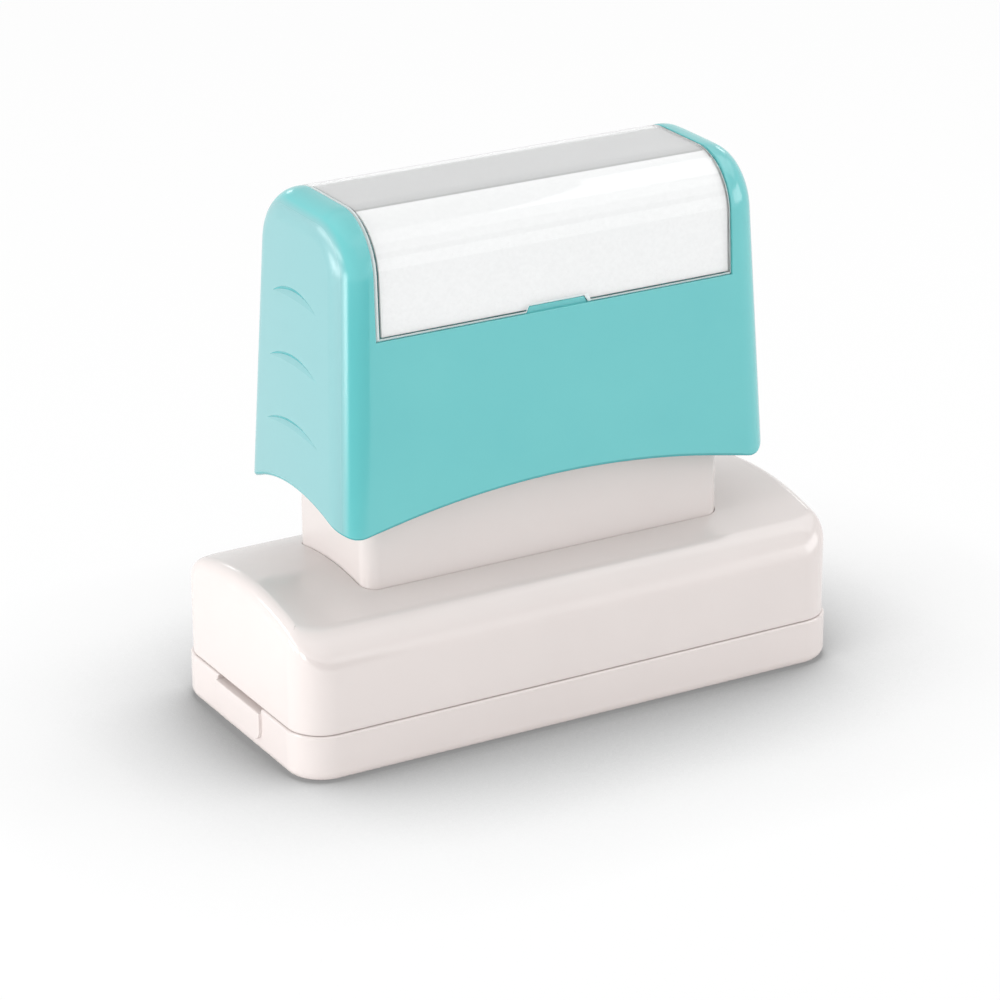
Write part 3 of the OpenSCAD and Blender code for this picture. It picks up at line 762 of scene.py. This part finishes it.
weld(neck, copied(post, turn=180), post)
tidy(neck)
tell(neck)

# %% [markdown]
# ## The dust cap
# The cap closes the housing's mouth. It is a shallow tray with a rounded lower edge, and on both ends a
# panel stands proud for the thumb, with a slot above it to get a nail in. An upright block with round
# corners is hollowed from above.

# %% Dust cap
CAP_X, CAP_Y, CAP_TOP, CAP_CORNER = 43.0, 19.5, 6.8, 5.5
CAP_WALL, CAP_FLOOR, CAP_ROUND, MOUTH_ROUND = 1.5, 1.5, 1.5, 0.3
cap = add_column("dust_cap_moulding", CAP_X, CAP_Y, CAP_CORNER, 0, CAP_TOP, steps=16)
edit(cap)
round_edges(lambda e: where(e).z < CLOSE, CAP_ROUND, steps=8)
pick("FACE", lambda f: f.normal.z > NEARLY)
bpy.ops.mesh.inset(thickness=CAP_WALL * MM, use_even_offset=True)
raise_faces(CAP_FLOOR)
round_edges(lambda e: square_edge(e) and where(e).z > CAP_TOP - CLOSE, MOUTH_ROUND, steps=4)
done()

# %% [markdown]
# ## Thumb panels
# Each panel is a plate with two rounded lower corners that is welded to the end, and the slot above it
# is cut out. Both are drawn at the right end and turned half round for the left one, as a mould maker
# would mirror them.

# %% Dust cap: thumb panels and nail slots
THUMB, THUMB_SILL, THUMB_TOP = 13.4, 2.0, 6.2
THUMB_ROOT, THUMB_FACE = CAP_X - 0.7, CAP_X + 0.45
THUMB_CORNER, THUMB_BREAK, SLOT_ROOT = 1.6, 0.15, CAP_X - 2
panel = add_block("thumb_panel", (THUMB_ROOT, -THUMB / 2, THUMB_SILL), (THUMB_FACE, THUMB / 2, THUMB_TOP))
edit(panel)
round_edges(lambda e: run(e).x > NEARLY and where(e).z < THUMB_SILL + CLOSE, THUMB_CORNER, steps=8)
round_edges(lambda e: fold(e) > SQUARE and where(e).x > THUMB_FACE - TRIM_REACH, THUMB_BREAK, steps=3)
done()
slot = add_block("nail_slot", (SLOT_ROOT, -THUMB / 2, THUMB_TOP), (CAP_X + 1, THUMB / 2, CAP_TOP + 1))
weld(cap, copied(panel, turn=180), panel)
cut(cap, copied(slot, turn=180), slot)
tidy(cap)
tell(cap)

# %% [markdown]
# ## The return springs
# Two coil springs stand between the neck's deck and the handle's roof. A small circle is swept round the
# axis while it climbs: one flat turn at each end, and wider turns between them.

# %% Springs
WIRE, COIL, TURNS, CLOSED = 0.8, 3.4, 8, 1.3
WIRE_SIDES, TURN_STEPS, WIRE_MERGE, WIRE_SMOOTH = 12, 32, 0.01, 50
low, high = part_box("spring_left")
SPRING_LOW, SPRING_HIGH = low.z / MM, high.z / MM
OPEN = (SPRING_HIGH - SPRING_LOW - WIRE - 2 * CLOSED) / (TURNS - 2)


def add_turns(start, pitch, turns):
    """Turns of wire about the Z axis."""
    bpy.ops.object.select_all(action="DESELECT")
    bpy.ops.mesh.primitive_circle_add(
        vertices=WIRE_SIDES,
        radius=WIRE / 2 * MM,
        location=(COIL * MM, 0, start * MM),
        rotation=(math.pi / 2, 0, 0),
    )
    piece = settle(bpy.context.object, "turns")
    tool = piece.modifiers.new("climb", "SCREW")
    tool.axis = "Z"
    tool.screw_offset = pitch * MM
    tool.iterations = turns
    tool.steps = TURN_STEPS
    tool.render_steps = TURN_STEPS
    bpy.ops.object.modifier_apply(modifier=tool.name)
    return piece


first = add_turns(SPRING_LOW + WIRE / 2, CLOSED, 1)
middle = add_turns(SPRING_LOW + WIRE / 2 + CLOSED, OPEN, TURNS - 2)
last = add_turns(SPRING_HIGH - WIRE / 2 - CLOSED, CLOSED, 1)
bpy.ops.object.select_all(action="DESELECT")
for piece in (first, middle, last):
    piece.select_set(True)
bpy.context.view_layer.objects.active = first
bpy.ops.object.join()
edit(first)
merge_points(WIRE_MERGE)
bpy.ops.mesh.select_all(action="SELECT")
bpy.ops.mesh.fill_holes(sides=0)
done()
tidy(first, WIRE_SMOOTH)

# %% Springs: one for each side
springs = []
for side, place in (("left", -SPRING_PLACE), ("right", SPRING_PLACE)):
    spring = copied(first, (place, 0, 0))
    spring.name = "coil_" + side
    spring.data.name = "coil_" + side
    springs.append(spring)
    tell(spring)
only(first)
bpy.ops.object.delete()

# %% [markdown]
# ## Finishes
# Each finish is mixed from noise in the piece's own coordinates, so it needs no pictures and no unwrapping.
# Moulded plastic isn't one flat colour: pigment clouds a little, the gloss varies, and the skin has a faint
# grain. The handle's ends are painted paler than its front, a painted sheen, and made duller; both are mixed
# in by how near a point lies to the end's drafted face. Walls that look down are painted deeper in colour,
# as painted shade.
# The cover lets shadows and scattered light straight through, so that the card under it is lit like
# everything else.


# %% Shader helpers
def tone(*values):
    """A colour given as it looks on screen, 0 to 255, as linear light."""
    return [((v / 255 + 0.055) / 1.055) ** 2.4 if v > 10 else v / 255 / 12.92 for v in values] + [1]


def new_finish(name):
    """A material with its node tree, its shader and object coordinates."""
    material = bpy.data.materials.new(name)
    material.use_nodes = True
    tree = material.node_tree
    shader = tree.nodes["Principled BSDF"]
    place = tree.nodes.new("ShaderNodeTexCoord").outputs["Object"]
    return material, tree, shader, place


def noise(tree, place, size, detail=3):
    """Noise with features of about that size in millimetres."""
    node = tree.nodes.new("ShaderNodeTexNoise")
    node.inputs["Scale"].default_value = 1 / (size * MM)
    node.inputs["Detail"].default_value = detail
    tree.links.new(place, node.inputs["Vector"])
    return node.outputs["Fac"]


def ramp(tree, value, start, end, low=0, high=1, kind="LINEAR"):
    """Maps a value from one range of numbers to another, and holds it there."""
    node = tree.nodes.new("ShaderNodeMapRange")
    node.interpolation_type = kind
    limits = {"From Min": start, "From Max": end, "To Min": low, "To Max": high}
    for name, limit in limits.items():
        node.inputs[name].default_value = limit
    tree.links.new(value, node.inputs["Value"])
    return node.outputs["Result"]


def spread(tree, value, low, high):
    """Maps the middle of a noise to a range of numbers, and lets its peaks go past it."""
    result = ramp(tree, value, 0.3, 0.7, low, high)
    result.node.clamp = False
    return result


def feed(tree, sockets, values):
    """Gives each socket its value: a number, a colour or a link to another socket."""
    for socket, value in zip(sockets, values):
        if isinstance(value, bpy.types.NodeSocket):
            tree.links.new(value, socket)
        else:
            socket.default_value = value


def reckon(tree, kind, *values):
    """The result of a sum with numbers or sockets."""
    node = tree.nodes.new("ShaderNodeMath")
    node.operation = kind
    feed(tree, node.inputs, values)
    return node.outputs["Value"]


def axes_of(tree, vector):
    """The three numbers of a vector."""
    node = tree.nodes.new("ShaderNodeSeparateXYZ")
    tree.links.new(vector, node.inputs["Vector"])
    return [node.outputs[axis] for axis in "XYZ"]


def mix_surface(tree, share, first, second, output="Material Output"):
    """Mixes two shaders into the surface."""
    node = tree.nodes.new("ShaderNodeMixShader")
    feed(tree, node.inputs, (share, first, second))
    tree.links.new(node.outputs["Shader"], tree.nodes[output].inputs["Surface"])


def blend(tree, share, first, second):
    """Mixes two colours, or sockets that carry colours."""
    node = tree.nodes.new("ShaderNodeMix")
    node.data_type = "RGBA"
    tree.links.new(share, node.inputs["Factor"])
    feed(tree, [i for i in node.inputs if i.type == "RGBA"], (first, second))
    return next(o for o in node.outputs if o.type == "RGBA")


def grain(tree, shader, height, depth):
    """Bumps the surface by a noise, that many millimetres deep."""
    node = tree.nodes.new("ShaderNodeBump")
    node.inputs["Strength"].default_value = 1
    node.inputs["Distance"].default_value = depth * MM
    tree.links.new(height, node.inputs["Height"])
    tree.links.new(node.outputs["Normal"], shader.inputs["Normal"])


CLOUD, GLOSS_PATCH, GRAIN = 14, 5, 0.8  # sizes of the patterns in moulded plastic


def moulded(name, dark, light, gloss, depth=0):
    """Moulded plastic: two near tones, an uneven gloss and a fine grain."""
    material, tree, shader, place = new_finish(name)
    shader.inputs["IOR"].default_value = 1.7
    cloud = spread(tree, noise(tree, place, CLOUD), 0, 1)
    tree.links.new(blend(tree, cloud, dark, light), shader.inputs["Base Color"])
    tree.links.new(spread(tree, noise(tree, place, GLOSS_PATCH), *gloss), shader.inputs["Roughness"])
    if depth:
        grain(tree, shader, noise(tree, place, GRAIN, 2), depth)
    return material


# %% Plastics
teal = moulded("teal_plastic", tone(99, 193, 195), tone(103, 196, 197), (0.17, 0.19))
# Where the painted sheen of the ends fades in, and where walls count as looking down for the painted shade.
FADE_START, FADE_END, DOWNWARD_FADE = 1.5, 0.55, (-0.3, -0.1)


def paint_end_sheen_and_shade(material, painted_sheen, painted_shade, rough):
    """Paints a pale sheen on both ends of the handle and makes them duller, and paints shade on what looks
    down.
    """
    tree = material.node_tree
    shader = tree.nodes["Principled BSDF"]
    coordinates = tree.nodes["Texture Coordinate"]
    x, y, z = axes_of(tree, coordinates.outputs["Object"])
    reach = reckon(tree, "MULTIPLY_ADD", z, math.tan(END_DRAFT), reckon(tree, "ABSOLUTE", x))
    square = reckon(tree, "MULTIPLY", y, y)
    reach = reckon(tree, "MULTIPLY_ADD", square, BULGE / (HALF_Y**2 * MM), reach)
    face = HALF_X + math.tan(END_DRAFT) * FOOT
    near = ramp(tree, reach, (face - FADE_START) * MM, (face - FADE_END) * MM, kind="SMOOTHSTEP")
    climb = axes_of(tree, coordinates.outputs["Normal"])[2]
    upright = ramp(tree, climb, *DOWNWARD_FADE)
    share = reckon(tree, "MULTIPLY", near, upright)
    # Walls that look down get painted shade, and the ends get the painted sheen over that.
    colour = blend(tree, upright, painted_shade, shader.inputs["Base Color"].links[0].from_socket)
    tree.links.new(blend(tree, share, colour, painted_sheen), shader.inputs["Base Color"])
    duller = tree.nodes.new("ShaderNodeMix")
    tree.links.new(share, duller.inputs["Factor"])
    tree.links.new(shader.inputs["Roughness"].links[0].from_socket, duller.inputs[2])
    duller.inputs[3].default_value = rough
    tree.links.new(duller.outputs[0], shader.inputs["Roughness"])


# The pale tone is a painted sheen on the ends, the deep one painted shade on walls that look down; the ends
# are also rougher.
paint_end_sheen_and_shade(teal, tone(129, 183, 186), tone(62, 164, 168), 0.28)
cream = moulded("cream_plastic", tone(224, 215, 212), tone(226, 217, 214), (0.15, 0.17))
grey = moulded("inner_plastic", tone(196, 197, 198), tone(208, 208, 208), (0.4, 0.5), 0.006)

clear, tree, shader, place = new_finish("clear_plastic")
shader.inputs["Base Color"].default_value = tone(254, 255, 255)
shader.inputs["Transmission Weight"].default_value = 1
shader.inputs["IOR"].default_value = 1.1
shader.inputs["Coat Weight"].default_value = 1
shader.inputs["Coat IOR"].default_value = 1.45
shader.inputs["Coat Roughness"].default_value = 0.04
tree.links.new(spread(tree, noise(tree, place, 9), 0.02, 0.06), shader.inputs["Roughness"])
path = tree.nodes.new("ShaderNodeLightPath")
through = tree.nodes.new("ShaderNodeBsdfTransparent")
either = reckon(tree, "MAXIMUM", path.outputs["Is Shadow Ray"], path.outputs["Is Diffuse Ray"])
mix_surface(tree, either, shader.outputs["BSDF"], through.outputs["BSDF"])

# The pale border of the cover is a painted highlight: a near-white, nearly opaque finish where the plastic
# is clear.
painted_glint, tree, shader, place = new_finish("painted_edge_glint")
shader.inputs["Base Color"].default_value = tone(248, 249, 249)
shader.inputs["Transmission Weight"].default_value = 0.2
tree.links.new(spread(tree, noise(tree, place, 0.4), 0.35, 0.5), shader.inputs["Roughness"])

# %% [markdown]
# ## Card, steel, felt and foam
# The card's top panel is painted grey, as painted shade, and a dark line of painted shade runs along the
# front crease; both change at its folds, measured across the stamp. Steel is streaked a little, the ink pad
# is a dark felt and the die a fine foam with open cells, painted darker in its pores as painted shade; they
# show when the cap is off.

# %% Card, steel, felt and foam
paper, tree, shader, place = new_finish("card")
fibre = spread(tree, noise(tree, place, 0.5, 6), 0, 1)
white_side = blend(tree, fibre, tone(238, 238, 238), tone(243, 243, 243))
# The grey of the top panel is painted shade.
painted_shade_panel = blend(tree, fibre, tone(190, 190, 190), tone(193, 193, 193))
card_y = axes_of(tree, place)[1]
CREASE, CREASE_WIDTH, REAR_CREASE, FOLD = 6.1, 0.4, 9.6, 0.3


def across_card(start, end):
    """0 to 1 between two places across the card."""
    return ramp(tree, card_y, start * MM, end * MM, kind="SMOOTHSTEP")


# A dark line of painted shade along the front crease, then the painted shade of the top panel up to the rear
# crease.
painted_crease_shade = across_card(-CREASE - CREASE_WIDTH, -CREASE - CREASE_WIDTH + FOLD)
front = blend(tree, painted_crease_shade, white_side, tone(165, 165, 165))
panels = blend(tree, across_card(-CREASE, -CREASE + FOLD), front, painted_shade_panel)
panels = blend(tree, across_card(REAR_CREASE, REAR_CREASE + FOLD), panels, white_side)
tree.links.new(panels, shader.inputs["Base Color"])
shader.inputs["Roughness"].default_value = 0.8
grain(tree, shader, noise(tree, place, 0.3), 0.01)

steel, tree, shader, place = new_finish("steel")
shader.inputs["Metallic"].default_value = 1
drawn = spread(tree, noise(tree, place, 0.6, 5), 0, 1)
tree.links.new(blend(tree, drawn, tone(176, 177, 180), tone(206, 207, 208)), shader.inputs["Base Color"])
tree.links.new(spread(tree, noise(tree, place, 1.5), 0.22, 0.4), shader.inputs["Roughness"])

felt, tree, shader, place = new_finish("ink_felt")
fluff = spread(tree, noise(tree, place, 0.6, 8), 0, 1)
tree.links.new(blend(tree, fluff, tone(26, 29, 52), tone(58, 62, 92)), shader.inputs["Base Color"])
shader.inputs["Roughness"].default_value = 0.95
grain(tree, shader, noise(tree, place, 0.4, 6), 0.2)

PORE = 0.35
foam, tree, shader, place = new_finish("die_foam")
cells = tree.nodes.new("ShaderNodeTexVoronoi")
cells.inputs["Scale"].default_value = 1 / (PORE * MM)
tree.links.new(place, cells.inputs["Vector"])
pores = cells.outputs["Distance"]
# The pores are painted darker, painted shade in the open cells.
tree.links.new(blend(tree, pores, tone(52, 52, 60), tone(104, 104, 112)), shader.inputs["Base Color"])
shader.inputs["Roughness"].default_value = 0.85
grain(tree, shader, pores, 0.05)

# %% [markdown]
# ## Who rides on what
# Each modelled piece stands for the construction node of the same object and moves with its body. Inner
# pieces keep their construction shape.

# %% Bodies, slots and finishes
rides = (
    (handle, "handle", "handle_shell", "teal_plastic", teal),
    (card, "handle", "index_card", "card", paper),
    (cover, "window", "window_cover", "clear_plastic", clear),
    (housing, "base", "base_housing", "cream_plastic", cream),
    (neck, "base", "neck_sleeve", "cream_plastic", cream),
    (cap, "cap", "dust_cap", "cream_plastic", cream),
    (springs[0], "base", "spring_left", "steel", steel),
    (springs[1], "base", "spring_right", "steel", steel),
)
for piece, body, node, slot, finish in rides:
    piece.data.materials.clear()
    piece.data.materials.append(finish)
    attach(piece, body)
    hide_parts(node)

# Faces of the chamfer and the ribs get the painted highlight.
cover.data.materials.append(painted_glint)
for face, glint_face in zip(cover.data.polygons, strip):
    face.material_index = int(glint_face)

for spring in springs:
    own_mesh(spring)

inner = {
    "plunger": grey,
    "die_tray": grey,
    "die_frame": grey,
    "ink_reservoir": felt,
    "print_die": foam,
    "plunger_screws": steel,
    "sleeve_screws": steel,
}
for node, finish in inner.items():
    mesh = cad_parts[node].data
    mesh.materials.clear()
    mesh.materials.append(finish)
print("pieces", len(rides), "inner nodes", len(inner))

# %% [markdown]
# ## The studio
# The stamp stands on a white floor. What the camera sees of the floor is mostly a glow of its own, white in
# the open, with a painted shadow: ambient occlusion darkens the glow near the stamp. Only a small share is
# the floor lit by the lamps, with its real shadow. So the background stays white without more light on the
# stamp.

# %% Floor
bpy.ops.object.select_all(action="DESELECT")
bpy.ops.mesh.primitive_plane_add(size=6)
floor = bpy.context.object
floor.name = "studio_floor"
white, tree, shader, _ = new_finish("studio_white")
shader.inputs["Base Color"].default_value = tone(250, 250, 250)
shader.inputs["Roughness"].default_value = 0.6


def seen_directly(tree):
    """1 for what the camera sees, also in gloss and through clear plastic; 0 for scattered light."""
    path = tree.nodes.new("ShaderNodeLightPath")
    value = path.outputs["Is Camera Ray"]
    for name in ("Is Glossy Ray", "Is Transmission Ray"):
        value = reckon(tree, "MAXIMUM", value, path.outputs[name])
    return value


SHADOW_REACH, SHADOW_DEEP, SHADOW_EDGE, SHADOW_TONE, FLOOR_LIFT = 45, 0.5, 0.97, 0.25, 0.9
# Painted shadow: ambient occlusion within SHADOW_REACH darkens the floor's glow near the stamp.
hidden = tree.nodes.new("ShaderNodeAmbientOcclusion")
hidden.inputs["Distance"].default_value = SHADOW_REACH * MM
open_air = ramp(tree, hidden.outputs["AO"], SHADOW_DEEP, SHADOW_EDGE, low=SHADOW_TONE)
glow = tree.nodes.new("ShaderNodeEmission")
tree.links.new(open_air, glow.inputs["Strength"])
share = reckon(tree, "MULTIPLY", seen_directly(tree), FLOOR_LIFT)
mix_surface(tree, share, shader.outputs["BSDF"], glow.outputs["Emission"])
floor.data.materials.append(white)

# %% [markdown]
# ## Lamps
# A long low lamp to the left and behind draws the highlight along the handle's edge, and one below it
# lights the neck and the housing. Small lamps make the sparks on the shoulders. Large weak ones above
# and in front open the rest. A black flag in front, seen only in reflections, gives the dark band at the
# front left corner.

# %% Lamps
AIM = Vector((0, 0, 38)) * MM


def add_lamp(name, turn, lift, size, power, reach=450):
    """A soft lamp that looks at the stamp, turned from the right towards the rear and lifted, in degrees."""
    turn, lift = math.radians(turn), math.radians(lift)
    way = Vector((math.cos(turn) * math.cos(lift), math.sin(turn) * math.cos(lift), math.sin(lift)))
    bpy.ops.object.light_add(type="AREA", location=AIM + way * reach * MM)
    lamp = bpy.context.object
    lamp.name = name
    lamp.rotation_mode = "QUATERNION"
    lamp.rotation_quaternion = (-way).to_track_quat("-Z", "Y")
    lamp.data.shape = "RECTANGLE"
    lamp.data.size, lamp.data.size_y = size[0] * MM, size[1] * MM
    lamp.data.energy = power
    lamp.visible_camera = False
    return lamp


add_lamp("left", 167, 25, (560, 50), 0.55)
add_lamp("left_low", 176, 4, (300, 70), 0.50)
add_lamp("left_strip", -152, 0, (40, 70), 0.05, 220)
add_lamp("rear_spark", 87, 21, (60, 40), 0.03)
add_lamp("right_spark", 36, 24, (60, 50), 0.04)
add_lamp("right_high", -5, 47, (250, 250), 0.20)
add_lamp("top", 0, 85, (700, 700), 0.56)
add_lamp("front_high", -75, 50, (400, 300), 0.14)
add_lamp("front_right", -35, 15, (260, 160), 0.33)
add_lamp("front", -62, 12, (240, 160), 0.06)

# %% Flag and the white room
FLAG_LENGTH, FLAG_HEIGHT, FLAG_TURN, FLAG_PLACE = 170, 45, -21, (-47, -121, 23)
bpy.ops.object.select_all(action="DESELECT")
bpy.ops.mesh.primitive_plane_add(size=1)
flag = bpy.context.object
flag.name = "black_flag"
flag.dimensions = (FLAG_LENGTH * MM, FLAG_HEIGHT * MM, 0)
flag.rotation_euler = (math.pi / 2, 0, math.radians(FLAG_TURN))
flag.location = [x * MM for x in FLAG_PLACE]
black, _, shader, _ = new_finish("flag_black")
shader.inputs["Base Color"].default_value = tone(12, 12, 12)
shader.inputs["Roughness"].default_value = 0.9
flag.data.materials.append(black)
flag.visible_camera = flag.visible_diffuse = flag.visible_shadow = flag.visible_transmission = False

ROOM = 0.58
world = bpy.data.worlds.new("room")
bpy.context.scene.world = world
world.use_nodes = True
tree = world.node_tree
air = tree.nodes["Background"]
air.name = "air"
air.inputs["Color"].default_value = (1, 1, 1, 1)
air.inputs["Strength"].default_value = ROOM
wall = tree.nodes.new("ShaderNodeBackground")
wall.inputs["Color"].default_value = (1, 1, 1, 1)
wall.inputs["Strength"].default_value = 1
views = (air.outputs["Background"], wall.outputs["Background"])
mix_surface(tree, seen_directly(tree), *views, output="World Output")

# %% [markdown]
# ## Camera
# The camera looks down a little from the left. Its place and lens were fitted to the edges of the
# housing and handle.

# %% Camera
TURN, TILT, ROLL = -29.534, 21.881, -0.359
DISTANCE, TARGET_HEIGHT, TARGET_SIDE = 569.131, 26.482, -1.406
SENSOR, LENS = 36, 145.9

turn, tilt, roll = (math.radians(x) for x in (TURN, TILT, ROLL))
back = Vector((math.sin(turn) * math.cos(tilt), -math.cos(turn) * math.cos(tilt), math.sin(tilt)))
right = Vector((0, 0, 1)).cross(back).normalized()
up = back.cross(right)
target = Vector((0, 0, TARGET_HEIGHT)) + TARGET_SIDE * right
eye = target + DISTANCE * back
across = math.cos(roll) * right + math.sin(roll) * up
upright = math.cos(roll) * up - math.sin(roll) * right
bpy.ops.object.camera_add()
camera = bpy.context.object
pose = Matrix((across, upright, back)).transposed().to_4x4()
pose.translation = eye * MM
camera.matrix_world = pose
camera.data.sensor_width = SENSOR
camera.data.lens = LENS
camera.data.clip_start, camera.data.clip_end = 0.01, 20
bpy.context.scene.camera = camera
bpy.context.scene.view_settings.view_transform = "Standard"
